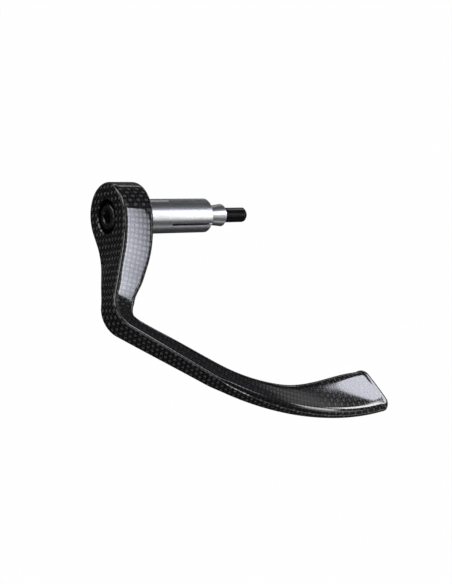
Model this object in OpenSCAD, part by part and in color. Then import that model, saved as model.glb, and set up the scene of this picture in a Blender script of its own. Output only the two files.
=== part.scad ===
// Brake lever guard that clamps in the end of a handlebar.
// A moulded arm reaches out, forward and back in front of the lever. A slit sleeve goes into
// the bar, and a screw through the arm's head draws a cone into the sleeve to spread it.
// Frame: the origin is the centre of the head's inboard face, on the sleeve's axis.
// X runs inboard along the sleeve, Y points backwards and Z is square to the arm's plane.

/* [Head] */
// Thickness of the arm's head, along the sleeve
head_t = 13.1; // [11:0.1:16]
// Diameter of the round head
head_d = 26.4; // [24:0.1:30]
// Radius of the arm's moulded edges
edge_r = 1.6; // [1:0.1:2.2]
// Depth of the screw's head below the outer face
screw_recess = 0.2; // [0:0.1:2]
// Diameter of the flat pad that the sleeve's end seats on
seat_pad_d = 17; // [14:0.1:20]
// Thickness of that pad, into the head
seat_pad_t = 2; // [1:0.1:3]

/* [Limb] */
// Straight start of the limb, ahead of the head's centre
lead_l = 0.5; // [0.2:0.1:4]
// Radius of the curve that sweeps the limb outboard
sweep_r = 50.5; // [40:0.5:80]
// Angle of that sweep, in degrees
sweep_angle = 20.3; // [8:0.1:24]
// Straight length between the sweep and the elbow
limb_l = 16.7; // [10:0.1:30]
// Thickness of the limb's root, in the arm's plane
root_t = 12.8; // [10:0.1:14]
// Height of the limb's root, square to the arm's plane
root_w = 21.4; // [17:0.1:24]
// Height of the limb where the sweep ends
sweep_w = 17.7; // [13:0.1:20]
// Thickness of the limb halfway to the elbow
limb_t = 10.7; // [8:0.1:12.5]
// Height of the limb halfway to the elbow
limb_w = 14.8; // [11:0.1:18]

/* [Elbow] */
// Radius of the elbow's outer side
elbow_r = 10.4; // [9.6:0.1:20]
// Angle that the arm turns through at the elbow, in degrees
elbow_angle = 75.5; // [55:0.5:90]
// Thickness where the elbow starts
elbow_in_t = 8.7; // [6:0.1:9.2]
// Height where the elbow starts
elbow_in_w = 11.7; // [9:0.1:15]
// Thickness where the elbow ends
elbow_out_t = 5; // [4.6:0.1:7]
// Height where the elbow ends
elbow_out_w = 11.6; // [8:0.1:13]

/* [Blade] */
// Straight length of the blade after the elbow
blade_l = 39.1; // [30:0.1:60]
// Thickness of the blade halfway, in the arm's plane
blade_t = 5.6; // [4.6:0.1:8]
// Thickness of the blade where its straight part ends
blade_end_t = 6.3; // [4.6:0.1:8]
// Height of the blade where its straight part ends
blade_w = 9.1; // [7:0.1:12]
// Radius of the curve that turns the blade along the bar
tail_r = 124; // [90:0.5:180]
// Angle of that curve, in degrees
tail_angle = 40; // [20:0.1:45]
// Breadth of the blade where it starts to flare, in the arm's plane
flare_b = 9.4; // [7:0.1:13]
// Height of the blade where it starts to flare
flare_w = 7.6; // [6:0.1:9]
// Breadth of the paddle
paddle_b = 16.2; // [12:0.1:20]
// Height of the paddle
paddle_w = 6.2; // [5:0.1:8]
// Breadth of the paddle's tip
tip_b = 20; // [14:0.1:26]
// Height of the paddle's tip
tip_w = 5.6; // [5:0.1:7]
// Edge radius of the paddle
paddle_r = 2.2; // [1.2:0.1:2.4]
// Angle between the tip's end and a square cut, in degrees
tip_skew = 22; // [0:1:30]
// Radius of the tip's corners
tip_r = 3.3; // [2:0.1:5]
// Radius that rounds the tip's end into its faces
tip_edge_r = 1.2; // [0.6:0.1:2]

/* [Sleeve] */
// Outer diameter of the sleeve
sleeve_d = 13.5; // [12:0.1:16]
// Length of the sleeve
sleeve_l = 33.1; // [28:0.1:45]
// Chamfer at the sleeve's open end
sleeve_chamfer = 1.3; // [0.3:0.1:2]
// Number of slits in the sleeve
slits = 4; // [3:1:6]
// Width of each slit
slit_w = 0.9; // [0.6:0.1:1.4]
// Length of each slit
slit_l = 20.1; // [12:0.1:24]
// Turn of the slits about the sleeve's axis, in degrees
slit_turn = 55; // [0:1:90]

/* [Cone] */
// Diameter of the cone's large end
cone_d = 9.1; // [8.8:0.1:11]
// Length of the cone
cone_l = 8.1; // [6:0.1:10]
// Angle between the cone's side and its axis, in degrees
cone_angle = 6.5; // [4:0.1:8]
// Length of the cone that stands inside the sleeve's mouth
cone_entry = 0.6; // [0.2:0.1:2]
// Chamfer round the cone's large end
cone_chamfer = 0.4; // [0.1:0.1:0.8]

/* [Screw and bush] */
// Diameter of the screw's shank
screw_d = 6; // [5:0.1:6.2]
// Diameter of the screw's head
screw_head_d = 9.8; // [9:0.1:11]
// Height of the screw's head
screw_head_h = 6; // [4:0.1:6.4]
// Rounding of the head's rim
screw_head_r = 0.9; // [0.3:0.1:1.2]
// Size of the hexagon socket, across its flats
socket_af = 5; // [4:0.1:5.5]
// Depth of the hexagon socket
socket_depth = 3; // [2:0.1:3.4]
// Turn of the socket about the screw's axis, in degrees
socket_turn = -6; // [-30:1:30]
// Length of screw that stands out past the cone
screw_tail = 11.7; // [9:0.1:16]
// Chamfer at the screw's tip
screw_tip = 0.9; // [0.4:0.1:1.5]
// Thickness of the bush's flange, under the screw's head
flange_t = 1.5; // [1:0.1:2.4]
// Wall of the bush's barrel
barrel_wall = 1.3; // [0.8:0.1:1.8]

/* [Clearances] */
// Gap round the screw's head in its counterbore
head_gap = 1.6; // [1:0.1:2.4]
// Gap between the bush's flange and the counterbore
flange_gap = 0.1; // [0.05:0.05:0.3]
// Gap between the screw and the bush's hole
hole_gap = 0.2; // [0.1:0.05:0.5]
// Gap between the screw and the sleeve's bore
bore_gap = 0.5; // [0.3:0.05:0.6]
// Gap of the bonded joint round the bush
bond_gap = 0.05; // [0.02:0.01:0.1]
// Gap between the screw and the cone's thread, on the radius
thread_gap = 0.05; // [0.02:0.01:0.1]
// Gap between the cone and the sleeve's mouth
seat_gap = 0.05; // [0.02:0.01:0.2]

/* [Hidden] */

// Facets of turned parts
round_fn = 96;
// Overrun of a cut past the surface that it opens, and a short one
cut = 1;
short_cut = 0.1;
// Steps round each moulded edge of the arm, and from the back of its head to its centre
corner_steps = 5;
back_steps = 13;
// Angle on the head's back at which its sections start, just short of its rearmost point
back_start = 88;
// Sections along each stretch of the arm's outer side
lead_steps = 1;
sweep_steps = 10;
limb_steps = 8;
elbow_steps = 18;
blade_steps = 14;
tail_steps = 30;
tip_steps = 6;
// Smallest radius left on an edge that the tip's rounding closes
least_r = 0.05;
// Places of the shaping sections, as shares of the stretch that holds them
root_at = 0.6;
limb_t_at = 0.45;
limb_w_at = 0.5;
flare_at = 0.35;
skew_at = 0.6;
paddle_at = 0.7;
// Sides of a hexagon
hexagon = 6;
// Steps of the rounded rim of the screw's head
rim_steps = 6;
// Angle of the drill point under the socket, from its axis
drill_angle = 60;

// Lengths of the arm's curved stretches, and the distance at which each stretch ends
sweep_l = sweep_r * sweep_angle * PI / 180;
elbow_l = elbow_r * elbow_angle * PI / 180;
tail_l = tail_r * tail_angle * PI / 180;
sweep_end = lead_l + sweep_l;
limb_end = sweep_end + limb_l;
elbow_end = limb_end + elbow_l;
blade_end = elbow_end + blade_l;
arm_end = blade_end + tail_l;

// The arm's outer side in its plane: each stretch's length, turn and number of sections
OUTER_SIDE = [
    [lead_l, 0, lead_steps],
    [sweep_l, -sweep_angle, sweep_steps],
    [limb_l, 0, limb_steps],
    [elbow_l, elbow_angle, elbow_steps],
    [blade_l, 0, blade_steps],
    [tail_l, tail_angle, tail_steps]
];

// Size across the arm in its plane, by distance along the outer side
THICKNESS = [
    [0, head_t],
    [sweep_end * root_at, root_t],
    [sweep_end + limb_l * limb_t_at, limb_t],
    [limb_end, elbow_in_t],
    [elbow_end, elbow_out_t],
    [elbow_end + blade_l / 2, blade_t],
    [blade_end, blade_end_t],
    [blade_end + tail_l * flare_at, flare_b],
    [blade_end + tail_l * paddle_at, paddle_b],
    [arm_end, tip_b]
];

// Size square to the arm's plane, by distance along the outer side
HEIGHT = [
    [0, head_d],
    [sweep_end * root_at, root_w],
    [sweep_end, sweep_w],
    [sweep_end + limb_l * limb_w_at, limb_w],
    [limb_end, elbow_in_w],
    [elbow_end, elbow_out_w],
    [blade_end, blade_w],
    [blade_end + tail_l * flare_at, flare_w],
    [blade_end + tail_l * paddle_at, paddle_w],
    [arm_end, tip_w]
];

// Radius of the long edges, and the skew of the sections towards the tip
EDGE_R = [[0, edge_r], [blade_end, edge_r], [blade_end + tail_l * paddle_at, paddle_r], [arm_end, paddle_r]];
SKEW = [[0, 0], [blade_end + tail_l * skew_at, 0], [arm_end, tip_skew]];

// Depths along the axis, from the head's outer face
seat_x = -head_t + screw_recess + screw_head_h;
flange_x = seat_x + flange_t;
counterbore_d = screw_head_d + 2 * head_gap;
flange_d = counterbore_d - 2 * flange_gap;
bush_hole_d = screw_d + 2 * hole_gap;
barrel_d = bush_hole_d + 2 * barrel_wall;
sleeve_bore_d = screw_d + 2 * bore_gap;
cone_start = sleeve_l - cone_entry;
cone_end = cone_start + cone_l;
cone_small_d = cone_d - 2 * cone_l * tan(cone_angle);
screw_end = cone_end + screw_tail;
mouth_d = cone_small_d + 2 * (cone_entry * tan(cone_angle) + seat_gap / cos(cone_angle));

// Steepness of a table between two of its rows
function rise(table, k) = (table[k + 1][1] - table[k][1]) / (table[k + 1][0] - table[k][0]);

// Slope at a row: level at the start and where the table turns, else a weighted mean
function slope(table, k) =
    k == 0 ? 0 :
    k == len(table) - 1 ? rise(table, k - 1) :
    rise(table, k - 1) * rise(table, k) <= 0 ? 0 :
    let (
        before = table[k][0] - table[k - 1][0],
        after = table[k + 1][0] - table[k][0],
        w1 = 2 * after + before,
        w2 = after + 2 * before
    ) (w1 + w2) / (w1 / rise(table, k - 1) + w2 / rise(table, k));

// Row of a table that a distance falls after
function row_before(table, s, k = 0) =
    k >= len(table) - 2 || s < table[k + 1][0] ? k : row_before(table, s, k + 1);

// Smooth curve through a table's rows, with no overshoot between them
function along(table, s) =
    let (
        k = row_before(table, s),
        w = table[k + 1][0] - table[k][0],
        u = (s - table[k][0]) / w
    )
    (2 * pow(u, 3) - 3 * pow(u, 2) + 1) * table[k][1] +
    (pow(u, 3) - 2 * pow(u, 2) + u) * w * slope(table, k) +
    (3 * pow(u, 2) - 2 * pow(u, 3)) * table[k + 1][1] +
    (pow(u, 3) - pow(u, 2)) * w * slope(table, k + 1);

// Place after a distance u along one stretch: [x, forward, heading], heading 0 is forward
function advance(at, stretch, u) =
    stretch[1] == 0 ? [at[0] + u * sin(at[2]), at[1] + u * cos(at[2]), at[2]] :
    let (
        turned = at[2] + stretch[1] * u / stretch[0],
        r = stretch[0] / (stretch[1] * PI / 180)
    )
    [at[0] + r * (cos(at[2]) - cos(turned)), at[1] + r * (sin(turned) - sin(at[2])), turned];

// Place at a distance s along the whole outer side
function outer_side(s, k = 0, at = [-head_t, 0, 0]) =
    k == len(OUTER_SIDE) - 1 || s <= OUTER_SIDE[k][0] ? advance(at, OUTER_SIDE[k], s) :
    outer_side(s - OUTER_SIDE[k][0], k + 1, advance(at, OUTER_SIDE[k], OUTER_SIDE[k][0]));

// Distance at which a stretch starts
function start_of(k) = k == 0 ? 0 : start_of(k - 1) + OUTER_SIDE[k - 1][0];

// Rectangle with round corners: [in from the outer side, up], from the outer face's top edge
function round_section(t, h, r) =
    let (
        q = min(r, t / 2, h / 2),
        corners = [[q, h / 2 - q], [t - q, h / 2 - q], [t - q, q - h / 2], [q, q - h / 2]]
    )
    [for (c = [0 : 3], i = [0 : corner_steps])
        let (a = 180 - 90 * c - 90 * i / corner_steps) corners[c] + q * [cos(a), sin(a)]];

// Radius of the head at a depth under one of its faces
function head_rim(depth) =
    head_d / 2 - edge_r + sqrt(max(0, pow(edge_r, 2) - pow(edge_r - depth, 2)));

// Slice of the head's round back at a distance behind its centre, in the same point order
function back_section(f) =
    let (
        inside = max(0, f - (head_d / 2 - edge_r)),
        first = edge_r - sqrt(pow(edge_r, 2) - pow(inside, 2)),
        rim = [for (i = [0 : corner_steps])
            let (d = first + (edge_r - first) * (1 - cos(90 * i / corner_steps)))
            [d, sqrt(max(0, pow(head_rim(d), 2) - pow(f, 2)))]],
        n = corner_steps
    )
    concat(
        rim,
        [for (i = [0 : n]) [head_t - rim[n - i][0], rim[n - i][1]]],
        [for (i = [0 : n]) [head_t - rim[i][0], -rim[i][1]]],
        [for (i = [0 : n]) [rim[n - i][0], -rim[n - i][1]]]
    );

// Section set in the arm's plane at a place, facing along the heading plus a skew
function set_section(section, at, skew, ahead = 0) =
    [for (p = section)
        [at[0] + p[0] * cos(at[2] + skew) + ahead * sin(at[2] + skew),
         -(at[1] - p[0] * sin(at[2] + skew) + ahead * cos(at[2] + skew)),
         p[1]]];

function arm_section(s) =
    set_section(round_section(along(THICKNESS, s), along(HEIGHT, s), along(EDGE_R, s)),
        outer_side(s), along(SKEW, s));

// Section of the rounded end, past the last full section
function tip_section(a) =
    let (
        ahead = tip_r * sin(a),
        side = tip_r - tip_r * cos(a),
        close = max(0, ahead - (tip_r - tip_edge_r)),
        drop = tip_edge_r - sqrt(max(0, pow(tip_edge_r, 2) - pow(close, 2))),
        section = round_section(tip_b - 2 * side, tip_w - 2 * drop, max(least_r, paddle_r - drop))
    )
    set_section([for (p = section) [p[0] + side, p[1]]], outer_side(arm_end), tip_skew, ahead);

arm_sections = concat(
    [for (i = [0 : back_steps - 1])
        let (f = head_d / 2 * sin(back_start * (1 - i / back_steps)))
        [for (p = back_section(f)) [p[0] - head_t, f, p[1]]]],
    [for (k = [0 : len(OUTER_SIDE) - 1], i = [0 : OUTER_SIDE[k][2] - 1])
        arm_section(start_of(k) + OUTER_SIDE[k][0] * i / OUTER_SIDE[k][2])],
    [arm_section(arm_end)],
    [for (i = [1 : tip_steps]) tip_section(90 * i / tip_steps)]
);

// Closed skin over rings of points, with an end face on the first and on the last
module skin(rings) {
    n = len(rings[0]);
    last = (len(rings) - 1) * n;
    polyhedron(
        points = [for (ring = rings) each ring],
        faces = concat(
            [[for (j = [n - 1 : -1 : 0]) j]],
            [for (i = [0 : len(rings) - 2], j = [0 : n - 1], side = [0, 1])
                let (a = i * n + j, b = i * n + (j + 1) % n)
                side == 0 ? [a, b, b + n] : [a, b + n, a + n]],
            [[for (j = [0 : n - 1]) last + j]]
        ),
        convexity = 6
    );
}

// Cylinder or cone along X, from one depth to another
module turned(x0, x1, d0, d1) {
    translate([x0, 0, 0]) rotate([0, 90, 0])
        cylinder(h = x1 - x0, d1 = d0, d2 = d1, $fn = round_fn);
}

// Moulded arm: round head, swept limb, elbow, blade and paddle in one piece
module guard_arm() {
    color([0.05, 0.05, 0.06])
    difference() {
        union() {
            skin(arm_sections);
            turned(-seat_pad_t, 0, seat_pad_d, seat_pad_d);
        }
        turned(-head_t - cut, flange_x, counterbore_d, counterbore_d);
        turned(flange_x - cut, cut, barrel_d + 2 * bond_gap, barrel_d + 2 * bond_gap);
    }
}

// Bush bonded into the head, whose flange takes the screw's pull
module flanged_bush() {
    color([0.1, 0.1, 0.11])
    difference() {
        union() {
            turned(seat_x, flange_x, flange_d, flange_d);
            turned(seat_x, 0, barrel_d, barrel_d);
        }
        turned(seat_x - cut, cut, bush_hole_d, bush_hole_d);
    }
}

// Slit through the sleeve's wall on one side, round at its blind end
module slit() {
    start = sleeve_l - slit_l + slit_w / 2;
    translate([start, -slit_w / 2, 0]) cube([slit_l + cut, slit_w, sleeve_d]);
    translate([start, 0, 0]) cylinder(h = sleeve_d, d = slit_w, $fn = round_fn / 2);
}

// Slit sleeve that goes into the bar and spreads there
module expander_sleeve() {
    color([0.72, 0.73, 0.75])
    difference() {
        union() {
            turned(0, sleeve_l - sleeve_chamfer, sleeve_d, sleeve_d);
            turned(sleeve_l - sleeve_chamfer, sleeve_l, sleeve_d, sleeve_d - 2 * sleeve_chamfer);
        }
        turned(-cut, sleeve_l + cut, sleeve_bore_d, sleeve_bore_d);
        turned(cone_start, sleeve_l, mouth_d - 2 * cone_entry * tan(cone_angle), mouth_d);
        for (i = [0 : slits - 1]) rotate([slit_turn + 360 * i / slits, 0, 0]) slit();
    }
}

// Threaded cone that the screw draws into the sleeve's mouth
module expander_cone() {
    color([0.76, 0.77, 0.79])
    difference() {
        union() {
            turned(cone_start, cone_end - cone_chamfer, cone_small_d,
                cone_d - 2 * cone_chamfer * tan(cone_angle));
            turned(cone_end - cone_chamfer, cone_end, cone_d - 2 * cone_chamfer * tan(cone_angle),
                cone_d - 2 * cone_chamfer);
        }
        turned(cone_start - cut, cone_end + cut, screw_d + 2 * thread_gap, screw_d + 2 * thread_gap);
    }
}

// Socket cap screw through the head, the bush, the sleeve and the cone
module clamp_screw() {
    top = seat_x - screw_head_h;
    socket_r = socket_af / (2 * cos(180 / hexagon));
    color([0.06, 0.06, 0.06])
    difference() {
        translate([top, 0, 0]) rotate([0, 90, 0])
            rotate_extrude($fn = round_fn) polygon(concat(
                [[0, 0]],
                [for (i = [0 : rim_steps])
                    let (a = 90 * i / rim_steps)
                    [screw_head_d / 2 - screw_head_r * (1 - sin(a)), screw_head_r * (1 - cos(a))]],
                [[screw_head_d / 2, screw_head_h], [screw_d / 2, screw_head_h],
                 [screw_d / 2, screw_end - top - screw_tip],
                 [screw_d / 2 - screw_tip, screw_end - top], [0, screw_end - top]]));
        rotate([socket_turn, 0, 0]) translate([top - cut, 0, 0]) rotate([0, 90, 0])
            cylinder(h = socket_depth + cut, r = socket_r, $fn = hexagon);
        turned(top + socket_depth - short_cut, top + socket_depth + socket_af / 2 / tan(drill_angle),
            socket_af + 2 * short_cut * tan(drill_angle), 0);
    }
}

guard_arm();
flanged_bush();
expander_sleeve();
expander_cone();
clamp_screw();
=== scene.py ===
"""Dressed model of a brake lever guard: carbon arm, slit sleeve, cone, bush and clamp screw.

Everything is in the row frame, in metres: X runs inboard along the sleeve, Y backwards and
Z square to the arm's plane. Sizes are written in millimetres and scaled once, when a mesh is made.
"""

import logging
import math
from dataclasses import dataclass, field
from enum import Enum
from typing import Callable, Iterable, Sequence

import bmesh
import bpy
from mathutils import Matrix, Vector


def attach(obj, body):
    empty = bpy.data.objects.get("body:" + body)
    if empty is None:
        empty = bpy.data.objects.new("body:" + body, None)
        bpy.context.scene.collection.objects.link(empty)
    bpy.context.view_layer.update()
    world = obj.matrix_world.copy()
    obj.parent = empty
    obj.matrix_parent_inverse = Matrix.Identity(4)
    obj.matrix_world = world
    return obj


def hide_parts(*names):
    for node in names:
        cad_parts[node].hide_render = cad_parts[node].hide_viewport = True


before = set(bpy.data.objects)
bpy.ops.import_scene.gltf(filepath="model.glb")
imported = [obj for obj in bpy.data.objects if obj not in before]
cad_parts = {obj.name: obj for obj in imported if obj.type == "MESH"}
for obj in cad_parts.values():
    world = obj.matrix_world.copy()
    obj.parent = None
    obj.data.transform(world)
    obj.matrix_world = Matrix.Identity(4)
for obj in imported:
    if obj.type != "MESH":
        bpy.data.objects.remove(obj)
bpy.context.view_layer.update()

MM = 0.001
WELD = 1e-5
NEAR = 1e-4
LOG = logging.getLogger("lever_guard")

Color = tuple[float, float, float]
Point2 = tuple[float, float]
Node = bpy.types.Node
Socket = bpy.types.NodeSocket


# Small helpers for shader nodes

class Nodes:
    """Adds nodes to one tree and links them, so that materials read as short formulas."""

    def __init__(self, tree: bpy.types.NodeTree) -> None:
        """Keeps the tree that the nodes go into."""
        self.tree = tree

    def new(self, kind: str, **props: object) -> Node:
        """Adds one node.

        Args:
            kind: The node's type name.
            **props: Properties to set on it.

        Returns:
            The new node.
        """
        node = self.tree.nodes.new(kind)
        for name, value in props.items():
            setattr(node, name, value)
        return node

    def feed(self, socket: Socket, value: object) -> None:
        """Links a socket into another, or sets a plain value on it."""
        if isinstance(value, Socket):
            self.tree.links.new(value, socket)
        else:
            socket.default_value = value

    def find(self, kind: str) -> Node:
        """The node of a type that the tree started with."""
        return next(node for node in self.tree.nodes if node.type == kind)

    def split(self, vector: Socket) -> bpy.types.bpy_prop_collection:
        """The X, Y and Z of a vector, as outputs read by name."""
        node = self.new("ShaderNodeSeparateXYZ")
        self.feed(node.inputs[0], vector)
        return node.outputs

    def math(self, operation: str, *values: object) -> Socket:
        """One math node.

        Args:
            operation: Blender's name of the operation.
            *values: Its inputs, sockets or numbers.

        Returns:
            The result's socket.
        """
        node = self.new("ShaderNodeMath", operation=operation)
        for socket, value in zip(node.inputs, values):
            self.feed(socket, value)
        return node.outputs[0]

    def add(self, *values: object) -> Socket:
        """The sum of two inputs."""
        return self.math("ADD", *values)

    def less(self, *values: object) -> Socket:
        """The first input less the second."""
        return self.math("SUBTRACT", *values)

    def times(self, first: object, *others: object) -> Socket:
        """The product of two or more inputs."""
        for other in others:
            first = self.math("MULTIPLY", first, other)
        return first

    def around(self, value: object, band: Point2, level: float, play: Point2) -> Socket:
        """A level that wavers with a value: down and up by the play, over a band of the value."""
        return self.ramp(value, *band, level - play[0], level + play[1])

    def ramp(self, value: object, low: float, high: float, out_low: float = 0.0,
             out_high: float = 1.0) -> Socket:
        """A smooth step from one level to another.

        Args:
            value: The input socket.
            low: Input at which the step starts.
            high: Input at which it ends.
            out_low: Output below the step.
            out_high: Output above the step.

        Returns:
            The result's socket.
        """
        node = self.new("ShaderNodeMapRange", interpolation_type="SMOOTHSTEP")
        for name, number in (("From Min", low), ("From Max", high),
                             ("To Min", out_low), ("To Max", out_high)):
            node.inputs[name].default_value = number
        self.feed(node.inputs["Value"], value)
        return node.outputs[0]

    def mix_color(self, factor: object, first: object, second: object) -> Socket:
        """A blend of two colours by a factor, as a socket."""
        node = self.new("ShaderNodeMix", data_type="RGBA")
        self.feed(node.inputs["Factor"], factor)
        for name, value in (("A", first), ("B", second)):
            socket = next(s for s in node.inputs if s.name == name and s.type == "RGBA")
            self.feed(socket, (*value, 1.0) if isinstance(value, tuple) else value)
        return next(s for s in node.outputs if s.type == "RGBA")

    def noise(self, vector: object, scale: float, detail: float = 2.0) -> Socket:
        """A noise value from 0 to 1 over the vector given."""
        node = self.new("ShaderNodeTexNoise", noise_dimensions="3D")
        self.feed(node.inputs["Vector"], vector)
        node.inputs["Scale"].default_value = scale
        node.inputs["Detail"].default_value = detail
        return node.outputs["Fac"]

    def stretched(self, vector: object, scale: Sequence[float]) -> Socket:
        """A vector scaled along each axis."""
        node = self.new("ShaderNodeMapping")
        self.feed(node.inputs["Vector"], vector)
        node.inputs["Scale"].default_value = tuple(scale)
        return node.outputs["Vector"]

    def bump(self, height: object, distance: float, strength: float = 1.0) -> Socket:
        """A bump normal from a height, with its distance in metres."""
        node = self.new("ShaderNodeBump")
        node.inputs["Strength"].default_value = strength
        node.inputs["Distance"].default_value = distance
        self.feed(node.inputs["Height"], height)
        return node.outputs["Normal"]


class Effect(Enum):
    """Effects that more than one material uses, each a node group."""

    WEAVE = "carbon_weave"
    LATHE = "lathe_marks"
    SPECKLE = "surface_speckle"


class EffectLibrary:
    """Builds each shared effect once, as a shader node group."""

    FLATNESS = 0.35
    STREAK = (9.0, 0.9)
    RIDGE_SHARE = 0.3
    BAND_SCALE = 0.35
    FINE_SCALE = 6000.0
    BROAD_SCALE = 160.0

    def __init__(self) -> None:
        """Starts with no group built."""
        self.built: dict[Effect, bpy.types.NodeTree] = {}

    def place(self, nodes: Nodes, effect: Effect, **values: object) -> Node:
        """Puts an effect in a material.

        Args:
            nodes: The material's nodes.
            effect: Which effect.
            **values: Its inputs by name, with spaces written as underscores.

        Returns:
            The group node, whose outputs are read by name.
        """
        if effect not in self.built:
            maker = {Effect.WEAVE: self._weave, Effect.LATHE: self._lathe,
                     Effect.SPECKLE: self._speckle}[effect]
            self.built[effect] = maker(effect.value)
        node = nodes.new("ShaderNodeGroup", node_tree=self.built[effect])
        for name, value in values.items():
            nodes.feed(node.inputs[name.replace("_", " ")], value)
        return node

    @staticmethod
    def _start(name: str, outputs: Iterable[str], **inputs: float) -> tuple[Nodes, Node, Node]:
        """Makes an empty group that reads a vector.

        Args:
            name: The group's name.
            outputs: Names of its outputs, which are all plain values.
            **inputs: Its further inputs, with their defaults.

        Returns:
            The group's nodes, its input node and its output node.
        """
        tree = bpy.data.node_groups.new(name, "ShaderNodeTree")
        tree.interface.new_socket("Vector", in_out="INPUT", socket_type="NodeSocketVector")
        for label, value in inputs.items():
            socket = tree.interface.new_socket(label, in_out="INPUT", socket_type="NodeSocketFloat")
            socket.default_value = value
        for label in outputs:
            tree.interface.new_socket(label, in_out="OUTPUT", socket_type="NodeSocketFloat")
        nodes = Nodes(tree)
        return nodes, nodes.new("NodeGroupInput"), nodes.new("NodeGroupOutput")

    def _weave(self, name: str) -> bpy.types.NodeTree:
        """Plain weave of flat tows: which tow is on top, its crown and its fine fibres."""
        n, source, sink = self._start(name, ("Height", "Crown", "Over", "Fibres", "Swell"),
                                      Tow=1.77, Fibre=0.35)
        vector, tow = source.outputs["Vector"], source.outputs["Tow"]
        place = n.split(vector)
        a = n.math("DIVIDE", place["X"], tow)
        b = n.math("DIVIDE", place["Y"], tow)
        over = n.math("PINGPONG", n.add(n.math("FLOOR", a), n.math("FLOOR", b)), 1.0)
        under = n.less(1.0, over)
        in_a = n.less(n.math("FRACT", a), 0.5)
        in_b = n.less(n.math("FRACT", b), 0.5)
        wave_a = n.math("COSINE", n.times(in_a, math.pi))
        wave_b = n.math("COSINE", n.times(in_b, math.pi))
        warp = n.times(n.math("POWER", wave_a, self.FLATNESS), wave_b)
        weft = n.times(n.math("POWER", wave_b, self.FLATNESS), wave_a)
        crown = n.add(n.times(over, warp), n.times(under, weft))
        across, along = self.STREAK
        streak_a = n.noise(n.stretched(vector, (across, along, 1.0)), 1.0, 3.0)
        streak_b = n.noise(n.stretched(vector, (along, across, 1.0)), 1.0, 3.0)
        fibres = n.add(n.times(over, streak_a),
                        n.times(under, streak_b))
        height = n.add(crown, n.times(fibres, source.outputs["Fibre"]))
        for label, value in (("Height", height), ("Crown", crown), ("Over", over),
                             ("Fibres", fibres), ("Swell", n.times(wave_a, wave_b))):
            n.feed(sink.inputs[label], value)
        return n.tree

    def _lathe(self, name: str) -> bpy.types.NodeTree:
        """Fine marks of turning round the X axis, with uneven depth along it."""
        n, source, sink = self._start(name, ("Height", "Bands"), Pitch=0.14)
        place = n.split(source.outputs["Vector"])
        along = n.math("DIVIDE", n.times(place["X"], 1.0 / MM), source.outputs["Pitch"])
        ridge = n.math("SINE", n.times(along, 2.0 * math.pi))
        one_axis = n.new("ShaderNodeCombineXYZ")
        n.feed(one_axis.inputs["X"], along)
        bands = n.noise(one_axis.outputs[0], self.BAND_SCALE, 4.0)
        n.feed(sink.inputs["Height"],
               n.add(n.times(ridge, self.RIDGE_SHARE), bands))
        n.feed(sink.inputs["Bands"], bands)
        return n.tree

    def _speckle(self, name: str) -> bpy.types.NodeTree:
        """Fine unevenness of a surface, at two sizes."""
        n, source, sink = self._start(name, ("Fine", "Broad"))
        vector = source.outputs["Vector"]
        n.feed(sink.inputs["Fine"], n.noise(vector, self.FINE_SCALE, 3.0))
        n.feed(sink.inputs["Broad"], n.noise(vector, self.BROAD_SCALE, 3.0))
        return n.tree


EFFECTS = EffectLibrary()


def new_material(name: str, color: Color) -> tuple[bpy.types.Material, Nodes, Node]:
    """Starts a material.

    Args:
        name: Its name.
        color: Its colour in the viewport.

    Returns:
        The material, its nodes and its Principled BSDF.
    """
    material = bpy.data.materials.new(name)
    material.use_nodes = True
    material.diffuse_color = (*color, 1.0)
    nodes = Nodes(material.node_tree)
    shader = nodes.find("BSDF_PRINCIPLED")
    shader.inputs["Base Color"].default_value = (*color, 1.0)
    return material, nodes, shader


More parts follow.
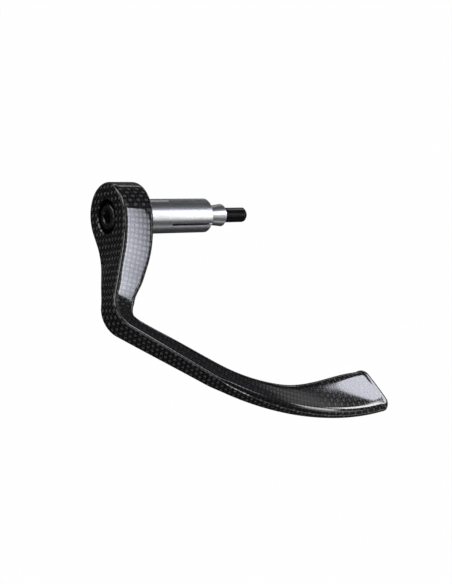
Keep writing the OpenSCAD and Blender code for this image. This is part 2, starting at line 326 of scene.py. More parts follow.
@dataclass(frozen=True)
class CarbonFinish:
    """Clear-coated carbon cloth that follows the arm, read from the arm's own UV map."""

    name: str = "carbon_clearcoat"
    valley: Color = (0.003, 0.003, 0.0032)
    tow: Color = (0.005, 0.005, 0.0053)
    crown: Color = (0.078, 0.075, 0.075)
    tow_width: float = 1.77
    over_band: Point2 = (0.35, 0.85)
    faint_band: Point2 = (0.5, 1.0)
    faint: float = 0.18
    fibre_band: Point2 = (0.3, 0.7)
    fibre_shade: Point2 = (0.55, 1.15)
    valley_band: Point2 = (0.1, 0.6)
    bump: float = 0.00008
    bump_strength: float = 0.6
    coat_bump: float = 0.000004
    blade_from: float = 0.034
    blade_fade: float = 0.006
    # Painted shade and light on the weave: the tows are painted darker on the blade's wide faces
    # and lighter on the paddle's.
    wide_face: Point2 = (0.5, 0.8)
    blade_painted_shade: float = 0.85
    paddle_from: float = 0.07
    paddle_fade: float = 0.03
    paddle_painted_shade_fade: float = 0.012
    paddle_painted_shade_share: float = -0.6
    paddle_telegraph: float = 0.05
    thin_from: Point2 = (-0.010, -0.001)
    thin: Point2 = (0.2, 0.55)
    thin_band: Point2 = (0.25, 0.85)
    roughness: float = 0.38
    roughness_play: Point2 = (0.08, 0.08)
    specular: float = 0.06
    coat_roughness: float = 0.04
    coat_ior: float = 1.6

    def build(self) -> bpy.types.Material:
        """Makes the material."""
        material, n, shader = new_material(self.name, self.tow)
        uv = n.new("ShaderNodeUVMap", uv_map=ArmMesh.UV_NAME)
        weave = EFFECTS.place(n, Effect.WEAVE, Vector=uv.outputs["UV"], Tow=self.tow_width).outputs
        shine = n.times(weave["Over"], n.ramp(weave["Crown"], *self.over_band))
        faint = n.times(n.ramp(weave["Crown"], *self.faint_band), self.faint)
        shade = n.ramp(weave["Fibres"], *self.fibre_band, *self.fibre_shade)
        # The tows' brightness carries painted shade on the blade's wide faces and painted light on
        # the paddle's wide faces.
        tows = n.times(n.math("MAXIMUM", shine, faint), shade, self._painted_shade_and_light(n))
        dark = n.mix_color(n.ramp(weave["Crown"], *self.valley_band), self.valley, self.tow)
        n.feed(shader.inputs["Base Color"], n.mix_color(tows, dark, self.crown))
        n.feed(shader.inputs["Roughness"],
               n.around(weave["Fibres"], self.fibre_band, self.roughness, self.roughness_play))
        n.feed(shader.inputs["Normal"], n.bump(weave["Height"], self.bump, self.bump_strength))
        along = n.split(n.new("ShaderNodeTexCoord").outputs["Object"])["X"]
        n.feed(shader.inputs["Coat Weight"], self._resin(n, along, weave["Crown"]))
        n.feed(shader.inputs["Coat Normal"],
               n.bump(n.times(weave["Swell"],
                             self._before_paddle(n, along, self.paddle_telegraph)), self.coat_bump))
        for label, value in (("Specular IOR Level", self.specular), ("Coat IOR", self.coat_ior),
                             ("Coat Roughness", self.coat_roughness)):
            shader.inputs[label].default_value = value
        return material

    def _before_paddle(self, n: Nodes, along: Socket,
                       left: float) -> Socket:
        """A full share before the paddle, and what is left of it on the paddle."""
        return n.ramp(along, self.paddle_from - self.paddle_fade, self.paddle_from, 1.0, left)

    def _resin(self, n: Nodes, along: Socket,
               crown: Socket) -> Socket:
        """How full the coat is: thin between the limb's tows, most so near its inboard face."""
        gap = n.times(n.ramp(along, *self.thin_from, *self.thin),
                     self._before_paddle(n, along, 0.0))
        valley = n.ramp(crown, *self.thin_band, 1.0, 0.0)
        return n.less(1.0, n.times(gap, valley))

    def _painted_shade_and_light(self, n: Nodes) -> Socket:
        """Painted shade and light on the tows' brightness: darker on the blade's wide faces, and
        lighter than elsewhere on the paddle's wide faces.
        """
        coords = n.new("ShaderNodeTexCoord").outputs
        place, normal = n.split(coords["Object"]), n.split(coords["Normal"])
        wide = n.ramp(n.math("ABSOLUTE", normal["Z"]), *self.wide_face)
        far = n.ramp(n.times(place["Y"], -1.0),
                     self.blade_from, self.blade_from + self.blade_fade)
        before = n.ramp(place["X"], self.paddle_from - self.paddle_painted_shade_fade, self.paddle_from,
                        1.0, self.paddle_painted_shade_share)
        return n.less(1.0, n.times(wide, far, n.times(before, self.blade_painted_shade)))


@dataclass(frozen=True)
class TurnedFinish:
    """Satin aluminium straight from the lathe."""

    name: str
    color: Color = (0.72, 0.73, 0.75)
    shade: Color = (0.68, 0.69, 0.71)
    roughness: float = 0.31
    pitch: float = 0.14
    bump: float = 0.0000002
    shade_band: Point2 = (0.35, 0.7)
    play_band: Point2 = (0.3, 0.7)
    play: Point2 = (0.05, 0.06)

    def build(self) -> bpy.types.Material:
        """Makes the material."""
        material, n, shader = new_material(self.name, self.color)
        place = n.new("ShaderNodeTexCoord").outputs["Object"]
        lathe = EFFECTS.place(n, Effect.LATHE, Vector=place, Pitch=self.pitch)
        speckle = EFFECTS.place(n, Effect.SPECKLE, Vector=place)
        broad = n.ramp(speckle.outputs["Broad"], *self.shade_band)
        n.feed(shader.inputs["Base Color"], n.mix_color(broad, self.shade, self.color))
        n.feed(shader.inputs["Roughness"],
               n.around(lathe.outputs["Bands"], self.play_band, self.roughness, self.play))
        n.feed(shader.inputs["Normal"], n.bump(lathe.outputs["Height"], self.bump))
        shader.inputs["Metallic"].default_value = 1.0
        return material


@dataclass(frozen=True)
class BlackFinish:
    """Black surface of a treated metal, slightly uneven."""

    name: str
    color: Color = (0.012, 0.012, 0.0125)
    worn: Color = (0.03, 0.03, 0.031)
    roughness: float = 0.34
    bump: float = 0.000002
    bump_strength: float = 0.7
    worn_band: Point2 = (0.45, 0.75)
    play_band: Point2 = (0.3, 0.7)
    play: Point2 = (0.06, 0.08)

    def build(self) -> bpy.types.Material:
        """Makes the material."""
        material, n, shader = new_material(self.name, self.color)
        place = n.new("ShaderNodeTexCoord").outputs["Object"]
        speckle = EFFECTS.place(n, Effect.SPECKLE, Vector=place)
        broad = n.ramp(speckle.outputs["Broad"], *self.worn_band)
        n.feed(shader.inputs["Base Color"], n.mix_color(broad, self.color, self.worn))
        n.feed(shader.inputs["Roughness"],
               n.around(speckle.outputs["Fine"], self.play_band, self.roughness, self.play))
        n.feed(shader.inputs["Normal"],
               n.bump(speckle.outputs["Fine"], self.bump, self.bump_strength))
        return material


# Mesh helpers

def linked(name: str, data: bpy.types.ID) -> bpy.types.Object:
    """A new object in the scene for a mesh, a lamp or a camera."""
    holder = bpy.data.objects.new(name, data)
    bpy.context.scene.collection.objects.link(holder)
    return holder


class Solid:
    """A closed mesh in millimetres, cut and joined as a turner or moulder would."""

    BEVEL_SEGMENTS = 3
    BEVEL_LIMIT = 40.0
    NORMAL_WEIGHT = 60

    def __init__(self, name: str, bm: bmesh.types.BMesh) -> None:
        """Takes over a bmesh as a named object."""
        mesh = bpy.data.meshes.new(name)
        bm.to_mesh(mesh)
        bm.free()
        self.object = linked(name, mesh)

    def _apply(self) -> None:
        """Bakes the object's modifiers into its mesh."""
        depsgraph = bpy.context.evaluated_depsgraph_get()
        baked = bpy.data.meshes.new_from_object(self.object.evaluated_get(depsgraph))
        old = self.object.data
        baked.name = old.name
        self.object.modifiers.clear()
        self.object.data = baked
        bpy.data.meshes.remove(old)

    def combine(self, other: "Solid", operation: str) -> "Solid":
        """Cuts or joins with another solid, which is used up.

        Args:
            other: The tool or the added solid.
            operation: DIFFERENCE, UNION or INTERSECT.

        Returns:
            This solid.
        """
        modifier = self.object.modifiers.new("shape", "BOOLEAN")
        modifier.operation = operation
        modifier.solver = "EXACT"
        modifier.object = other.object
        self._apply()
        mesh = other.object.data
        bpy.data.objects.remove(other.object)
        bpy.data.meshes.remove(mesh)
        return self

    def bevel(self, width: float) -> None:
        """Softens every edge sharper than the limit."""
        modifier = self.object.modifiers.new("edge", "BEVEL")
        modifier.width = width
        modifier.segments = self.BEVEL_SEGMENTS
        modifier.limit_method = "ANGLE"
        modifier.angle_limit = math.radians(self.BEVEL_LIMIT)
        self._apply()

    def finish(self, material: bpy.types.Material, smooth: float = 35.0) -> bpy.types.Object:
        """Scales the mesh to metres, shades it and gives it its material.

        Args:
            material: The finish.
            smooth: Angle between faces, in degrees, up to which they shade as one surface.

        Returns:
            The finished object.
        """
        mesh = self.object.data
        bm = bmesh.new()
        bm.from_mesh(mesh)
        bmesh.ops.remove_doubles(bm, verts=bm.verts, dist=WELD)
        bmesh.ops.scale(bm, vec=(MM, MM, MM), verts=bm.verts)
        for edge in bm.edges:
            edge.smooth = (len(edge.link_faces) == 2
                           and edge.calc_face_angle(0.0) < math.radians(smooth))
        for face in bm.faces:
            face.smooth = True
            face.material_index = 0
        bm.to_mesh(mesh)
        bm.free()
        mesh.materials.clear()
        mesh.materials.append(material)
        weighted = self.object.modifiers.new("normals", "WEIGHTED_NORMAL")
        weighted.keep_sharp = True
        weighted.weight = self.NORMAL_WEIGHT
        self._apply()
        return self.object


def lathe(name: str, profile: Sequence[Point2], steps: int = 128, closed: bool = False) -> Solid:
    """A solid turned about the X axis.

    Args:
        name: The object's name.
        profile: Points (x, radius) in millimetres, from end to end.
        steps: Steps round the axis.
        closed: Whether the profile is a closed ring clear of the axis.

    Returns:
        The solid.
    """
    bm = bmesh.new()
    verts = [bm.verts.new((x, 0.0, r)) for x, r in profile]
    pairs = list(zip(verts, verts[1:])) + ([(verts[-1], verts[0])] if closed else [])
    edges = [bm.edges.new(pair) for pair in pairs]
    bmesh.ops.spin(bm, geom=verts + edges, cent=(0, 0, 0), axis=(1, 0, 0), dvec=(0, 0, 0),
                   angle=2.0 * math.pi, steps=steps, use_merge=True, use_normal_flip=False,
                   use_duplicate=False)
    bmesh.ops.remove_doubles(bm, verts=bm.verts, dist=WELD)
    bmesh.ops.recalc_face_normals(bm, faces=bm.faces)
    return Solid(name, bm)


def arc(center: Point2, radius: float, start: float, end: float, steps: int) -> list[Point2]:
    """Points of an arc in the (x, radius) plane, with its angles in degrees."""
    angles = [math.radians(start + (end - start) * i / steps) for i in range(steps + 1)]
    return [(center[0] + radius * math.cos(a), center[1] + radius * math.sin(a)) for a in angles]


# The moulded arm

@dataclass(frozen=True)
class Curve:
    """Smooth curve through rows of (distance, value), with no overshoot between them."""

    rows: tuple[Point2, ...]

    def _rise(self, k: int) -> float:
        """Steepness between two rows."""
        (x0, y0), (x1, y1) = self.rows[k], self.rows[k + 1]
        return (y1 - y0) / (x1 - x0)

    def _slope(self, k: int) -> float:
        """Slope at a row: level at the start and where the curve turns."""
        if k == 0:
            return 0.0
        if k == len(self.rows) - 1:
            return self._rise(k - 1)
        before, after = self._rise(k - 1), self._rise(k)
        if before * after <= 0.0:
            return 0.0
        span0 = self.rows[k][0] - self.rows[k - 1][0]
        span1 = self.rows[k + 1][0] - self.rows[k][0]
        w0, w1 = 2.0 * span1 + span0, span1 + 2.0 * span0
        return (w0 + w1) / (w0 / before + w1 / after)

    def at(self, s: float) -> float:
        """Value at a distance."""
        k = max([i for i in range(len(self.rows) - 1) if s >= self.rows[i][0]] or [0])
        span = self.rows[k + 1][0] - self.rows[k][0]
        u = (s - self.rows[k][0]) / span
        return ((2 * u**3 - 3 * u**2 + 1) * self.rows[k][1]
                + (u**3 - 2 * u**2 + u) * span * self._slope(k)
                + (3 * u**2 - 2 * u**3) * self.rows[k + 1][1]
                + (u**3 - u**2) * span * self._slope(k + 1))


@dataclass(frozen=True)
class Stretch:
    """One straight or arc of the arm's outer side: its length, turn in degrees and steps."""

    length: float
    turn: float
    steps: int


@dataclass(frozen=True)
class Place:
    """A place on the outer side: X, forward distance and heading in degrees."""

    x: float
    forward: float
    heading: float

    def advanced(self, stretch: Stretch, u: float) -> "Place":
        """The place a distance u further along a stretch."""
        h = math.radians(self.heading)
        if stretch.turn == 0.0:
            return Place(self.x + u * math.sin(h), self.forward + u * math.cos(h), self.heading)
        radius = stretch.length / math.radians(stretch.turn)
        turned = self.heading + stretch.turn * u / stretch.length
        t = math.radians(turned)
        return Place(self.x + radius * (math.cos(h) - math.cos(t)),
                     self.forward + radius * (math.sin(t) - math.sin(h)), turned)


@dataclass(frozen=True)
class RingPoint:
    """A point of a section: in from the outer side, up, and its coordinate across the cloth."""

    inward: float
    up: float
    across: float
    side: int


ClothPoint = tuple[Vector, float, int]
Ring = tuple[float, list[ClothPoint]]


@dataclass
class ArmMesh:
    """Moulded arm, lofted along its outer side from the head's back to the paddle's tip."""

    UV_NAME = "cloth"

    head_t: float = 13.1
    head_d: float = 26.4
    edge_r: float = 1.6
    crease_r: float = 0.8
    lead_l: float = 0.5
    sweep_r: float = 50.5
    sweep_angle: float = 20.3
    limb_l: float = 16.7
    root_t: float = 12.8
    root_w: float = 21.4
    sweep_w: float = 17.7
    limb_t: float = 11.0
    limb_w: float = 14.8
    elbow_r: float = 10.4
    elbow_angle: float = 75.5
    elbow_in_t: float = 9.0
    elbow_in_w: float = 11.7
    elbow_out_t: float = 5.0
    elbow_out_w: float = 11.2
    blade_l: float = 39.1
    blade_t: float = 5.9
    blade_end_t: float = 6.6
    blade_w: float = 8.7
    tail_r: float = 124.0
    tail_angle: float = 40.0
    flare_b: float = 9.7
    flare_w: float = 7.6
    paddle_b: float = 16.5
    paddle_w: float = 6.2
    tip_b: float = 20.0
    tip_w: float = 5.6
    paddle_r: float = 2.2
    paddle_lip_r: float = 2.8
    head_crown: float = 0.2
    blade_crown: float = 0.03
    paddle_crown: float = 0.35
    tip_skew: float = 22.0
    tip_r: float = 3.3
    tip_edge_r: float = 1.2
    seat_pad_d: float = 17.0
    seat_pad_t: float = 2.0
    counterbore_d: float = 13.0
    counterbore_floor: float = -5.4
    counterbore_lip: float = 0.4
    barrel_hole_d: float = 9.1
    root_at: float = 0.6
    limb_t_at: float = 0.45
    limb_w_at: float = 0.5
    elbow_lead: Point2 = (1.2, 0.05)
    elbow_thirds: Point2 = (0.25, 1.4)
    elbow_exit: float = 0.6
    elbow_after: Point2 = (3.0, 0.15)
    crease_open: Point2 = (8.0, 1.7)
    flare_at: float = 0.35
    skew_at: float = 0.6
    paddle_at: float = 0.7
    back_angle: float = 88.6
    pad_edge: float = 0.25
    cloth_turn: float = 25.0
    least_r: float = 0.05
    past: float = 2.0
    clear: float = 0.02
    corner_steps: int = 8
    flat_steps: int = 6
    back_steps: int = 30
    tip_steps: int = 12
    bore_steps: int = 144
    stretches: tuple[Stretch, ...] = field(init=False)

    def __post_init__(self) -> None:
        """Works out the stretches, the distances at which they end and the shaping curves."""
        sweep_l = self.sweep_r * math.radians(self.sweep_angle)
        elbow_l = self.elbow_r * math.radians(self.elbow_angle)
        tail_l = self.tail_r * math.radians(self.tail_angle)
        self.stretches = (
            Stretch(self.lead_l, 0.0, 1), Stretch(sweep_l, -self.sweep_angle, 22),
            Stretch(self.limb_l, 0.0, 18), Stretch(elbow_l, self.elbow_angle, 40),
            Stretch(self.blade_l, 0.0, 26), Stretch(tail_l, self.tail_angle, 70))
        sweep_end = self.lead_l + sweep_l
        limb_end = sweep_end + self.limb_l
        elbow_end = limb_end + elbow_l
        blade_end = elbow_end + self.blade_l
        self.length = blade_end + tail_l
        flare, paddle = blade_end + tail_l * self.flare_at, blade_end + tail_l * self.paddle_at
        root = sweep_end * self.root_at
        lead_l, lead_rise = self.elbow_lead
        after_l, after_rise = self.elbow_after
        self.thickness = Curve((
            (0.0, self.head_t), (root, self.root_t),
            (sweep_end + self.limb_l * self.limb_t_at, self.limb_t),
            (limb_end - lead_l, self.elbow_in_t + lead_rise), (limb_end, self.elbow_in_t),
            (limb_end + elbow_l * 0.33, self.elbow_in_t - self.elbow_thirds[0]),
            (limb_end + elbow_l * 0.66, self.elbow_in_t - self.elbow_thirds[1]),
            (elbow_end, self.elbow_out_t + self.elbow_exit),
            (elbow_end + after_l, self.elbow_out_t + after_rise),
            (elbow_end + self.blade_l / 2, self.blade_t), (blade_end, self.blade_end_t),
            (flare, self.flare_b), (paddle, self.paddle_b), (self.length, self.tip_b)))
        self.height = Curve((
            (0.0, self.head_d), (root, self.root_w), (sweep_end, self.sweep_w),
            (sweep_end + self.limb_l * self.limb_w_at, self.limb_w), (limb_end, self.elbow_in_w),
            (elbow_end, self.elbow_out_w), (blade_end, self.blade_w), (flare, self.flare_w),
            (paddle, self.paddle_w), (self.length, self.tip_w)))
        self.edge = Curve(((0.0, self.edge_r), (blade_end, self.edge_r),
                           (paddle, self.paddle_r), (self.length, self.paddle_r)))
        self.crease = Curve((
            (0.0, self.edge_r), (limb_end, self.edge_r), (elbow_end, self.crease_r),
            (blade_end, self.crease_r), (blade_end + self.crease_open[0], self.crease_open[1]),
            (paddle, self.paddle_lip_r), (self.length, self.paddle_lip_r)))
        self.crown = Curve(((0.0, self.head_crown), (limb_end, self.head_crown),
                            (elbow_end, self.blade_crown), (blade_end, self.blade_crown),
                            (paddle, self.paddle_crown), (self.length, self.paddle_crown)))
        self.skew = Curve(((0.0, 0.0), (blade_end + tail_l * self.skew_at, 0.0),
                           (self.length, self.tip_skew)))

    def _place(self, s: float) -> Place:
        """Place at a distance along the whole outer side."""
        here = Place(-self.head_t, 0.0, 0.0)
        for stretch in self.stretches[:-1]:
            if s <= stretch.length:
                return here.advanced(stretch, s)
            here = here.advanced(stretch, stretch.length)
            s -= stretch.length
        return here.advanced(self.stretches[-1], s)

    def _with_flats(self, corners: Sequence[Sequence[Point2]]) -> list[RingPoint]:
        """Joins four rounded corners with stepped flats, and measures the cloth across.

        Args:
            corners: Points (inward, up) of each corner, from the outer face's top edge.

        Returns:
            The ring's points in order.
        """
        points: list[tuple[float, float, int]] = []
        for c, corner in enumerate(corners):
            following = corners[(c + 1) % 4]
            for i, (a, b) in enumerate(corner):
                points.append((a, b, c if i >= len(corner) // 2 else (c - 1) % 4))
            (a0, b0), (a1, b1) = corner[-1], following[0]
            for i in range(1, self.flat_steps):
                u = 0.5 - 0.5 * math.cos(math.pi * i / self.flat_steps)
                points.append((a0 + (a1 - a0) * u, b0 + (b1 - b0) * u, c))
        ring, across = [], 0.0
        for k, (a, b, side) in enumerate(points):
            if k:
                across += math.dist(points[k - 1][:2], (a, b))
            ring.append(RingPoint(a, b, across, side))
        return ring

    @staticmethod
    def _crowned(ring: Sequence[RingPoint], t: float, share: float) -> list[RingPoint]:
        """Lowers the top and bottom faces towards their sides, by a share of their height."""
        return [RingPoint(p.inward, p.up * (1.0 - share * (2.0 * p.inward / t - 1.0)**2),
                          p.across, p.side) for p in ring]

    def _section(self, t: float, h: float, outer: float, inner: float,
                 crown: float) -> list[RingPoint]:
        """Crowned rectangle with round corners, in from the outer side and up.

        Args:
            t: Thickness, inwards.
            h: Height.
            outer: Edge radius on the outer side.
            inner: Edge radius on the inner side.
            crown: Rise of the top and bottom faces in their middle.

        Returns:
            The section's points.
        """
        q, w = min(outer, t / 2, h / 2), min(inner, t / 2, h / 2)
        corners = ((q, q, h / 2 - q), (w, t - w, h / 2 - w),
                   (w, t - w, w - h / 2), (q, q, q - h / 2))
        ring = self._with_flats([
            arc((a, b), r, 180.0 - 90.0 * k, 90.0 - 90.0 * k, self.corner_steps)
            for k, (r, a, b) in enumerate(corners)])
        return self._crowned(ring, t, crown / (h / 2))

    def _rim(self, behind: float) -> list[Point2]:
        """Points (depth, up) of the head's rounded rim in a slice behind its centre."""
        r = self.edge_r
        body = self.head_d / 2 - r
        inside = max(0.0, behind - body)
        first = r - math.sqrt(r**2 - inside**2)
        points = []
        for i in range(self.corner_steps + 1):
            d = first + (r - first) * (1 - math.cos(math.pi / 2 * i / self.corner_steps))
            radius = body + math.sqrt(max(0.0, r**2 - (r - d)**2))
            points.append((d, math.sqrt(max(0.0, radius**2 - behind**2))))
        return points

    def _back_section(self, behind: float) -> list[RingPoint]:
        """Slice of the head's round back, at a distance behind its centre."""
        rim, t = self._rim(behind), self.head_t
        ring = self._with_flats([
            rim, [(t - d, z) for d, z in rim[::-1]],
            [(t - d, -z) for d, z in rim], [(d, -z) for d, z in rim[::-1]]])
        return self._crowned(ring, t, self.head_crown / (self.head_d / 2))

    def _rings(self) -> list[Ring]:
        """Every section in place: its cloth length, and its points with their cloth data."""
        rings = []
        for i in range(self.back_steps):
            angle = math.radians(self.back_angle * (1 - i / self.back_steps))
            behind = self.head_d / 2 * math.sin(angle)
            rings.append((-self.head_d / 2 * angle, [
                (Vector((p.inward - self.head_t, behind, p.up)), p.across, p.side)
                for p in self._back_section(behind)]))
        start = 0.0
        for stretch in self.stretches:
            for i in range(stretch.steps):
                s = start + stretch.length * i / stretch.steps
                rings.append((s, self._set(s, self._section(
                    self.thickness.at(s), self.height.at(s), self.crease.at(s),
                    self.edge.at(s), self.crown.at(s)))))
            start += stretch.length
        for i in range(self.tip_steps + 1):
            rings.append(self._tip(math.pi / 2 * i / self.tip_steps))
        return rings

    def _set(self, s: float, section: Sequence[RingPoint], ahead: float = 0.0,
             shift: float = 0.0) -> list[ClothPoint]:
        """Sets a section in the arm's plane, facing along the heading plus the skew."""
        at = self._place(s)
        a = math.radians(at.heading + self.skew.at(s))
        return [(Vector((at.x + (p.inward + shift) * math.cos(a) + ahead * math.sin(a),
                         -(at.forward - (p.inward + shift) * math.sin(a) + ahead * math.cos(a)),
                         p.up)), p.across + shift, p.side) for p in section]

    def _tip(self, angle: float) -> Ring:
        """Section of the rounded end, at an angle of its rounding."""
        ahead = self.tip_r * math.sin(angle)
        side = self.tip_r - self.tip_r * math.cos(angle)
        close = max(0.0, ahead - (self.tip_r - self.tip_edge_r))
        drop = self.tip_edge_r - math.sqrt(max(0.0, self.tip_edge_r**2 - close**2))
        r = max(self.least_r, self.paddle_r - drop)
        section = self._section(self.tip_b - 2 * side, self.tip_w - 2 * drop, r, r,
                                self.paddle_crown * (1.0 - drop / self.tip_edge_r))
        return self.length + ahead, self._set(self.length, section, ahead, side)

    def build(self) -> Solid:
        """Lofts the arm, adds the pad that the sleeve seats on and cuts the head's bore."""
        rings = self._rings()
        bm = bmesh.new()
        cloth, caps = self._loft(bm, rings)
        self._lay_cloth(bm, rings, cloth, caps)
        bmesh.ops.recalc_face_normals(bm, faces=bm.faces)
        arm = Solid("guard_arm_moulding", bm)
        r, edge = self.seat_pad_d / 2, self.pad_edge
        pad = lathe("pad", ((-self.seat_pad_t, 0.0), (-self.seat_pad_t, r),
                            (-edge, r), (0.0, r - edge), (0.0, 0.0)))
        return arm.combine(pad, "UNION").combine(self._bore(), "DIFFERENCE")

    def _loft(self, bm: bmesh.types.BMesh, rings: Sequence[Ring]) -> tuple[
            dict[bmesh.types.BMVert, tuple[int, int]], list[bmesh.types.BMFace]]:
        """Extrudes a ring of edges from section to section and closes both ends.

        Args:
            bm: The mesh to fill.
            rings: The sections, in order.

        Returns:
            Each vertex's ring and place in it, and the two end faces.
        """
        count = len(rings[0][1])
        bm.loops.layers.uv.new(self.UV_NAME)
        made = bmesh.ops.create_circle(bm, segments=count, radius=1.0, cap_ends=False)
        first = [made["verts"][0]]
        while len(first) < count:
            first.append(next(e.other_vert(first[-1]) for e in first[-1].link_edges
                              if e.other_vert(first[-1]) not in first[-2:]))
        ring = list(first)
        cloth: dict[bmesh.types.BMVert, tuple[int, int]] = {}
        for k, (_, points) in enumerate(rings):
            if k:
                edges = [bm.edges.get((ring[j], ring[(j + 1) % count])) for j in range(count)]
                grown = bmesh.ops.extrude_edge_only(bm, edges=edges)
                new = {v for v in grown["geom"] if isinstance(v, bmesh.types.BMVert)}
                ring = [next(e.other_vert(v) for e in v.link_edges if e.other_vert(v) in new)
                        for v in ring]
            for j, (v, point) in enumerate(zip(ring, points)):
                v.co = point[0]
                cloth[v] = (k, j)
        return cloth, [bm.faces.new(first), bm.faces.new(ring)]

    def _lay_cloth(self, bm: bmesh.types.BMesh, rings: Sequence[Ring],
                   cloth: dict[bmesh.types.BMVert, tuple[int, int]],
                   caps: Sequence[bmesh.types.BMFace]) -> None:
        """Writes the cloth's coordinates, in millimetres, into the UV map.

        Args:
            bm: The lofted mesh.
            rings: The sections, in order.
            cloth: Each vertex's ring and place in it.
            caps: The end faces, which are left out.
        """
        uv = bm.loops.layers.uv[self.UV_NAME]
        last = len(rings[0][1]) - 1
        for face in bm.faces:
            if face in caps:
                continue
            slots = [cloth[loop.vert] for loop in face.loops]
            low, high = min(j for _, j in slots), max(j for _, j in slots)
            side = rings[slots[0][0]][1][last if low == 0 and high == last else low][2]
            for loop in face.loops:
                k, j = cloth[loop.vert]
                length, points = rings[k]
                position, across, _ = points[j]
                if side in (1, 3):
                    loop[uv].uv = (position.z, length if length > 0 else -position.y)
                else:
                    loop[uv].uv = (across, length)
                if side == 3:
                    loop[uv].uv = self._turned_cloth(loop[uv].uv)

    def _turned_cloth(self, uv: Vector) -> Vector:
        """The outer face's cloth coordinates, turned to the angle that the layer lies at."""
        a = math.radians(self.cloth_turn)
        return Vector((uv.x * math.cos(a) - uv.y * math.sin(a),
                       uv.x * math.sin(a) + uv.y * math.cos(a)))

    def _bore(self) -> Solid:
        """Tool that cuts the counterbore, its softened lip and the bush's hole."""
        mouth, hole, lip = self.counterbore_d / 2, self.barrel_hole_d / 2, self.counterbore_lip
        face, floor = -self.head_t, self.counterbore_floor
        wide = mouth + lip + self.clear
        return lathe("bore_tool", (
            (face - self.past, 0.0), (face - self.past, wide), (face - self.clear, wide),
            (face, mouth + lip), (face + lip, mouth), (floor, mouth), (floor, hole),
            (self.past, hole), (self.past, 0.0)), self.bore_steps)


@dataclass
class GuardArm:
    """The moulded carbon arm with its finish."""

    shape: ArmMesh = field(default_factory=ArmMesh)
    finish: CarbonFinish = field(default_factory=CarbonFinish)

    def build(self) -> bpy.types.Object:
        """Builds and dresses the arm."""
        solid = self.shape.build()
        arm = solid.finish(self.finish.build(), smooth=32.0)
        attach(arm, "arm")
        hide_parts("guard_arm")
        return arm


@dataclass
class ExpanderSet:
    """Slit sleeve and the cone that spreads it, both turned from aluminium."""

    sleeve_d: float = 13.5
    sleeve_l: float = 33.1
    sleeve_chamfer: float = 1.3
    bore_d: float = 7.0
    slits: int = 4
    slit_w: float = 0.9
    slit_l: float = 20.1
    slit_turn: float = 55.0
    cone_d: float = 9.1
    cone_l: float = 8.1
    cone_angle: float = 6.5
    cone_entry: float = 0.6
    cone_chamfer: float = 0.4
    cone_hole_d: float = 6.1
    cone_edge: float = 0.25
    seat_gap: float = 0.05
    sleeve_edge: float = 0.16
    past: float = 1.0
    sleeve_finish: TurnedFinish = TurnedFinish("sleeve_turned_aluminium")
    cone_finish: TurnedFinish = TurnedFinish(
        "cone_turned_aluminium", (0.76, 0.77, 0.79), (0.74, 0.75, 0.77), 0.33, 0.1)

    def build(self) -> list[bpy.types.Object]:
        """Builds and dresses the sleeve and the cone."""
        return [self._sleeve(), self._cone()]

    def _slit(self, index: int) -> Solid:
        """Tool for one slit, round at its blind end."""
        start = self.sleeve_l - self.slit_l + self.slit_w / 2
        length = self.slit_l + self.past
        bm = bmesh.new()
        bmesh.ops.create_cone(bm, segments=32, radius1=self.slit_w / 2, radius2=self.slit_w / 2,
                              depth=self.sleeve_d, cap_ends=True)
        bmesh.ops.translate(bm, vec=(start, 0.0, (self.sleeve_d + self.past) / 2), verts=bm.verts)
        for vert in bm.verts:
            if vert.co.x > start + NEAR:
                vert.co.x += length
        turn = Matrix.Rotation(math.radians(self.slit_turn + 360.0 * index / self.slits), 3, "X")
        bmesh.ops.transform(bm, matrix=turn.to_4x4(), verts=bm.verts)
        return Solid("slit_tool", bm)

    def _sleeve(self) -> bpy.types.Object:
        """The slit sleeve, with its softened edges."""
        r, bore, c = self.sleeve_d / 2, self.bore_d / 2, self.sleeve_chamfer
        slope = math.tan(math.radians(self.cone_angle))
        inner = (self.cone_d / 2 - self.cone_l * slope
                 + self.seat_gap / math.cos(math.radians(self.cone_angle)))
        end, seat = self.sleeve_l, self.sleeve_l - self.cone_entry
        sleeve = lathe("expander_sleeve_turned", (
            (0.0, r), (end - c, r), (end, r - c), (end, inner + self.cone_entry * slope),
            (seat, inner), (seat, bore), (0.0, bore)), 160, closed=True)
        for index in range(self.slits):
            sleeve.combine(self._slit(index), "DIFFERENCE")
        sleeve.bevel(self.sleeve_edge)
        piece = sleeve.finish(self.sleeve_finish.build())
        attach(piece, "sleeve")
        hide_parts("expander_sleeve")
        return piece

    def _cone(self) -> bpy.types.Object:
        """The threaded cone."""
        slope = math.tan(math.radians(self.cone_angle))
        start = self.sleeve_l - self.cone_entry
        end = start + self.cone_l
        small, large = self.cone_d / 2 - self.cone_l * slope, self.cone_d / 2
        c, hole, edge = self.cone_chamfer, self.cone_hole_d / 2, self.cone_edge
        cone = lathe("expander_cone_turned", (
            (start, small), (end - c, large - c * slope), (end, large - c), (end, hole + edge),
            (end - edge, hole), (start, hole)), closed=True)
        piece = cone.finish(self.cone_finish.build())
        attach(piece, "cone")
        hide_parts("expander_cone")
        return piece


